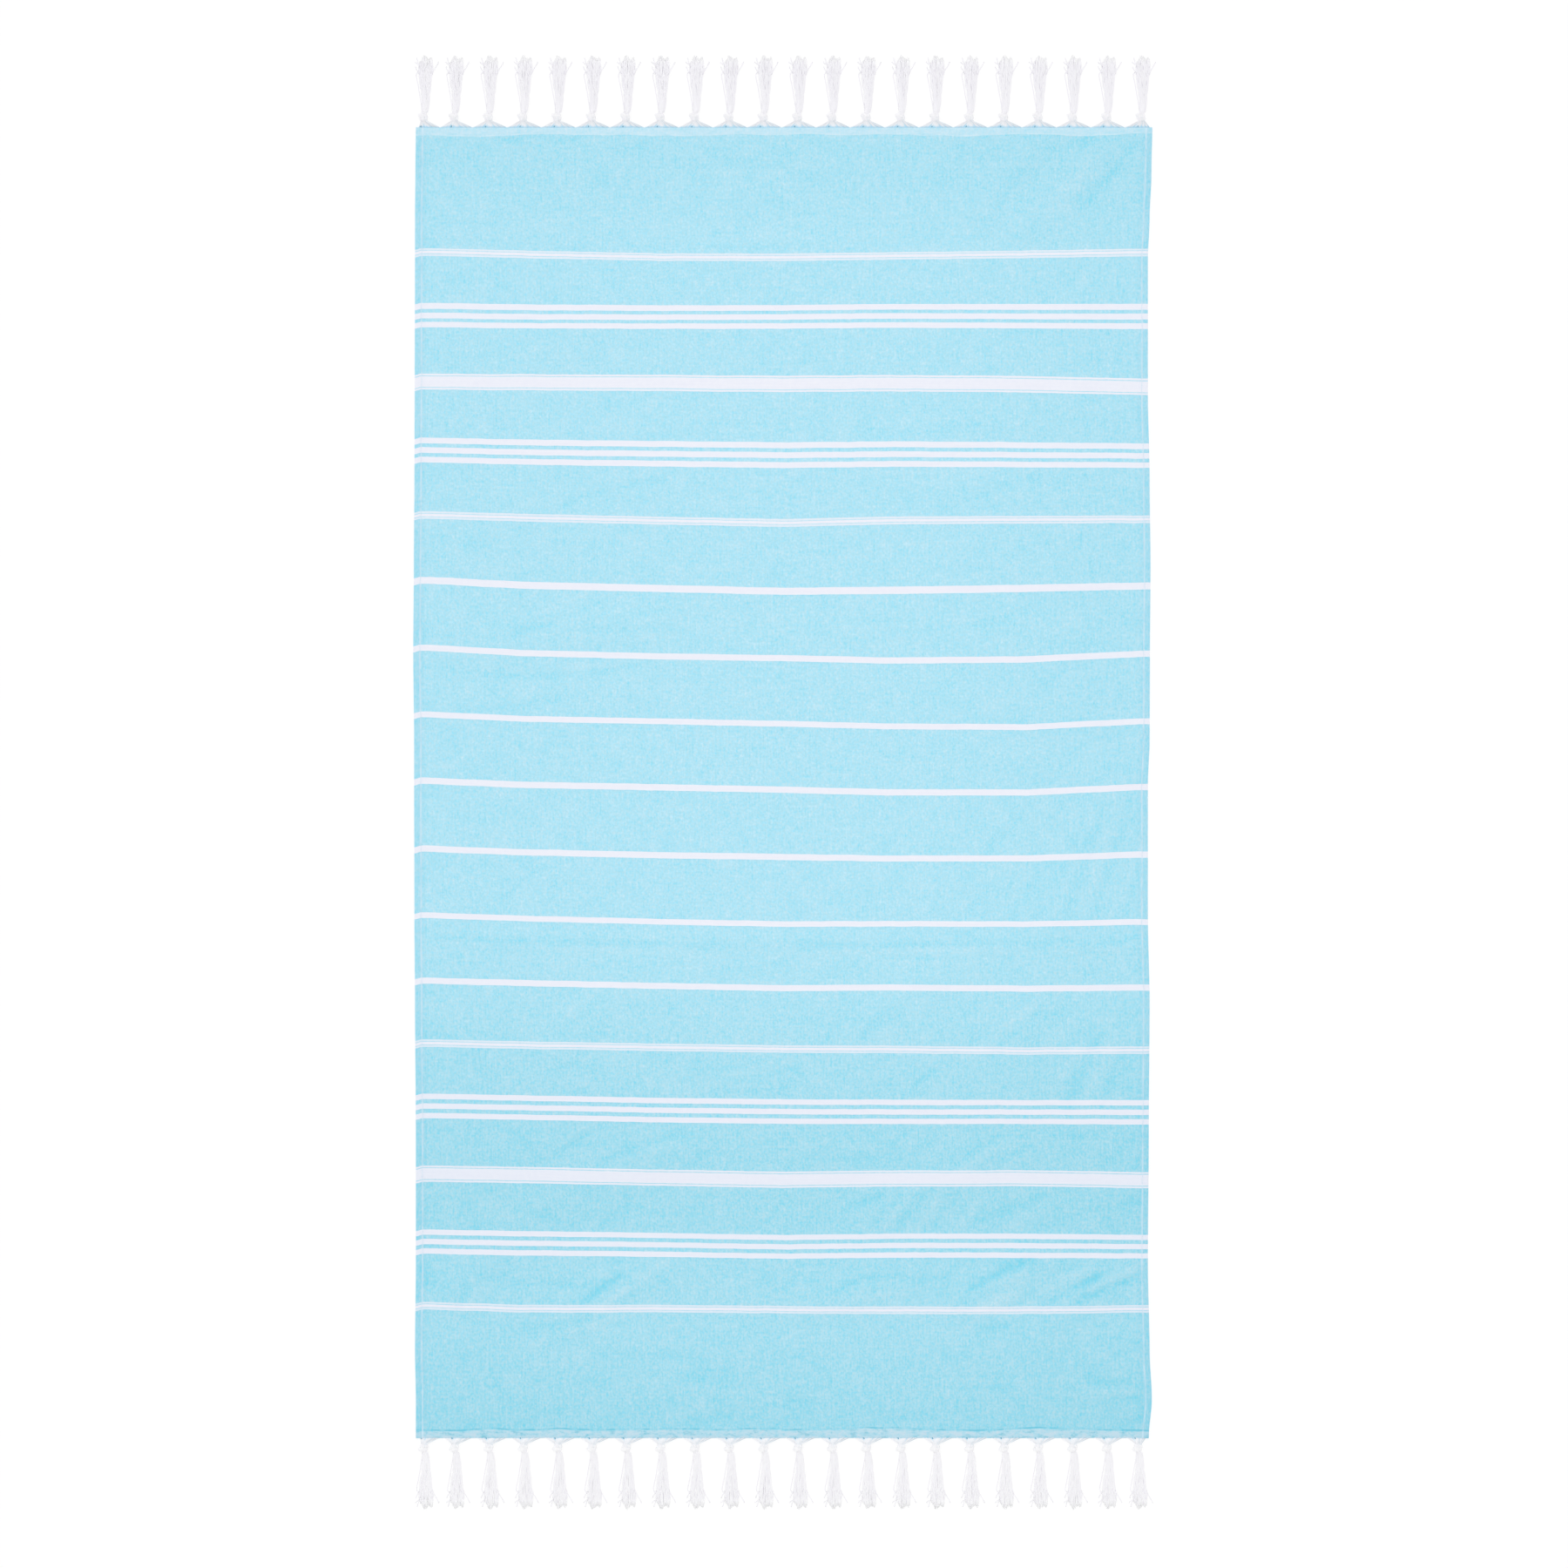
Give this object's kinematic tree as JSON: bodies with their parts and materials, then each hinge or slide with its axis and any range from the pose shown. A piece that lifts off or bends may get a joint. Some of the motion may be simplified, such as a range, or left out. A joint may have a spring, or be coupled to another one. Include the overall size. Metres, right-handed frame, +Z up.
{
  "type": "hammam towel",
  "caption": "Flat woven hammam towel with white cross stripes, stitched side hems and a row of knotted tassels along each end, laid flat.",
  "frame": {"origin": "middle of the towel at the floor it lies on", "axes": "+X across the cloth, +Y along it towards the far tassels, the top of the picture, +Z up off the floor"},
  "size_m": [1.0035, 1.9728, 0.0091],
  "materials": {
    "cloth": "plain weave, turquoise weft on a white warp, white weft stripes",
    "yarn": "twisted white cotton yarn"
  },
  "bodies": {
    "root": {"cloth": "cloth", "tassel_far_01": "yarn", "tassel_far_02": "yarn", "tassel_far_03": "yarn", "tassel_far_04": "yarn", "tassel_far_05": "yarn", "tassel_far_06": "yarn", "tassel_far_07": "yarn", "tassel_far_08": "yarn", "tassel_far_09": "yarn", "tassel_far_10": "yarn", "tassel_far_11": "yarn", "tassel_far_12": "yarn", "tassel_far_13": "yarn", "tassel_far_14": "yarn", "tassel_far_15": "yarn", "tassel_far_16": "yarn", "tassel_far_17": "yarn", "tassel_far_18": "yarn", "tassel_far_19": "yarn", "tassel_far_20": "yarn", "tassel_far_21": "yarn", "tassel_far_22": "yarn", "tassel_near_01": "yarn", "tassel_near_02": "yarn", "tassel_near_03": "yarn", "tassel_near_04": "yarn", "tassel_near_05": "yarn", "tassel_near_06": "yarn", "tassel_near_07": "yarn", "tassel_near_08": "yarn", "tassel_near_09": "yarn", "tassel_near_10": "yarn", "tassel_near_11": "yarn", "tassel_near_12": "yarn", "tassel_near_13": "yarn", "tassel_near_14": "yarn", "tassel_near_15": "yarn", "tassel_near_16": "yarn", "tassel_near_17": "yarn", "tassel_near_18": "yarn", "tassel_near_19": "yarn", "tassel_near_20": "yarn", "tassel_near_21": "yarn", "tassel_near_22": "yarn"}
  },
  "joints": []
}
